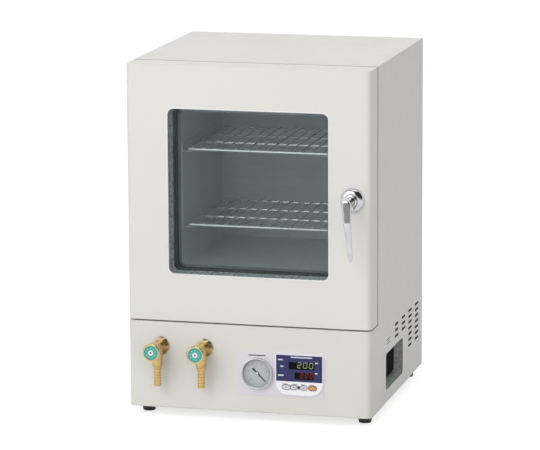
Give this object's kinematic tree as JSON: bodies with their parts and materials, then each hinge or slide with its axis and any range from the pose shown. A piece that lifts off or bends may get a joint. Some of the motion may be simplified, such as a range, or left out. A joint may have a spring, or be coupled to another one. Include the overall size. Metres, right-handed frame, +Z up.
{
  "type": "inert gas oven",
  "caption": "Bench-top laboratory oven with a glazed door, lever latch, wire shelves, gas valves with hose barbs, a round gauge and a digital controller.",
  "frame": {"origin": "on the plane the feet stand on, at the cabinet's middle across, midway in depth between the knob faces and the ends of the rear stand-offs", "axes": "+Z up, +X to the right seen from the front, +Y from the door to the back"},
  "size_m": [0.4894, 0.57, 0.689],
  "materials": {
    "cabinet_paint": "smooth powder coat",
    "door_paint": "smooth powder coat",
    "rim_paint": "gloss enamel",
    "window_glass": "tinted, polished",
    "clear_glass": "polished",
    "stainless": "brushed",
    "wire_steel": "drawn",
    "silicone": "matte",
    "foot_rubber": "matte",
    "wool": "fibrous",
    "handle_chrome": "polished",
    "machine_steel": "turned",
    "valve_brass": "turned, slightly dull",
    "plate_chrome": "polished",
    "knob_brass": "fluted",
    "badge_teal": "printed",
    "gauge_steel": "polished bezel",
    "dial_white": "printed",
    "pointer_black": "matte",
    "label_pale": "satin print",
    "control_plastic": "fine grain",
    "display_black": "gloss",
    "key_white": "soft",
    "key_orange": "soft",
    "recess_grey": "dull primer",
    "cover_grey": "coarse grain",
    "breaker_black": "satin",
    "gland_black": "satin",
    "spacer_grey": "satin",
    "pipe_copper": "drawn",
    "sink_aluminium": "extruded"
  },
  "bodies": {
    "cabinet": {"right_side_panel": "cabinet_paint", "left_side_panel": "cabinet_paint", "front_panel": "cabinet_paint", "base_plate": "cabinet_paint", "top_cover": "cabinet_paint", "rear_panel": "cabinet_paint", "rubber_feet": "foot_rubber", "chamber_deck": "stainless", "front_frame": "stainless", "chamber": "stainless", "insulation": "wool", "wall_heaters": "machine_steel", "temperature_sensor": "wire_steel", "shelf_rails": "stainless", "latch_keeper": "machine_steel", "hinge_case_leaves": "machine_steel", "hinge_pins": "machine_steel", "left_valve_body": "valve_brass", "right_valve_body": "valve_brass", "valve_wall_plates": "plate_chrome", "gauge_case": "gauge_steel", "gauge_dial": "dial_white", "gauge_glass": "clear_glass", "control_plate": "label_pale", "control_face": "control_plastic", "controller_housing": "breaker_black", "display_windows": "display_black", "side_recess": "recess_grey", "terminal_cover": "cover_grey", "breaker_body": "breaker_black", "cable_gland": "gland_black", "rear_spacers": "spacer_grey", "gas_pipes": "pipe_copper", "power_relay": "sink_aluminium"},
    "door": {"door_shell": "door_paint", "window_trim": "rim_paint", "glass_seal": "silicone", "outer_glass": "window_glass", "window_tunnel": "stainless", "inner_glass": "clear_glass", "door_liner": "stainless", "door_gasket": "silicone", "door_insulation": "wool", "hinge_door_leaves": "machine_steel", "latch_bushing": "machine_steel", "latch_escutcheon": "handle_chrome"},
    "latch": {"latch_lever": "handle_chrome", "latch_shaft": "machine_steel"},
    "left_knob": {"left_valve_knob": "knob_brass", "left_valve_badge": "badge_teal"},
    "right_knob": {"right_valve_knob": "knob_brass", "right_valve_badge": "badge_teal"},
    "pointer": {"gauge_pointer": "pointer_black"},
    "first_key": {"key_one": "key_white"},
    "second_key": {"key_two": "key_white"},
    "third_key": {"key_three": "key_white"},
    "fourth_key": {"key_four": "key_orange"},
    "toggle": {"breaker_toggle": "breaker_black"},
    "top_shelf": {"upper_shelf": "wire_steel"},
    "bottom_shelf": {"lower_shelf": "wire_steel"}
  },
  "joints": [
    {"name": "door_hinge", "type": "hinge", "parent": "cabinet", "child": "door", "pos_m": [-0.2449, -0.157, 0.44075], "axis": [0, 0, -1], "range_deg": [0, 170]},
    {"name": "latch_turn", "type": "hinge", "parent": "door", "child": "latch", "pos_m": [0.204, -0.217, 0.44275], "axis": [0, 1, 0], "range_deg": [0, 90]},
    {"name": "left_valve_turn", "type": "hinge", "parent": "cabinet", "child": "left_knob", "pos_m": [-0.1755, -0.273, 0.1428], "axis": [0, -1, 0], "range_deg": [0, 720]},
    {"name": "right_valve_turn", "type": "hinge", "parent": "cabinet", "child": "right_knob", "pos_m": [-0.088, -0.273, 0.1428], "axis": [0, -1, 0], "range_deg": [0, 720]},
    {"name": "pointer_turn", "type": "hinge", "parent": "cabinet", "child": "pointer", "pos_m": [0.0176, -0.218, 0.099], "axis": [0, -1, 0], "range_deg": [0, 270], "stiffness_Nm_per_rad": 0.001},
    {"name": "toggle_rock", "type": "hinge", "parent": "cabinet", "child": "toggle", "pos_m": [0.2135, -0.052, 0.086], "axis": [0, 1, 0], "range_deg": [0, 40]},
    {"name": "upper_shelf_slide", "type": "slide", "parent": "cabinet", "child": "top_shelf", "axis": [0, -1, 0], "range_m": [-0.014, 0.03]},
    {"name": "lower_shelf_slide", "type": "slide", "parent": "cabinet", "child": "bottom_shelf", "axis": [0, -1, 0], "range_m": [-0.014, 0.03]},
    {"name": "first_key_press", "type": "slide", "parent": "cabinet", "child": "first_key", "axis": [0, 1, 0], "range_m": [0, 0.0008], "stiffness_N_per_m": 300},
    {"name": "second_key_press", "type": "slide", "parent": "cabinet", "child": "second_key", "axis": [0, 1, 0], "range_m": [0, 0.0008], "stiffness_N_per_m": 300},
    {"name": "third_key_press", "type": "slide", "parent": "cabinet", "child": "third_key", "axis": [0, 1, 0], "range_m": [0, 0.0008], "stiffness_N_per_m": 300},
    {"name": "fourth_key_press", "type": "slide", "parent": "cabinet", "child": "fourth_key", "axis": [0, 1, 0], "range_m": [0, 0.0008], "stiffness_N_per_m": 300}
  ]
}
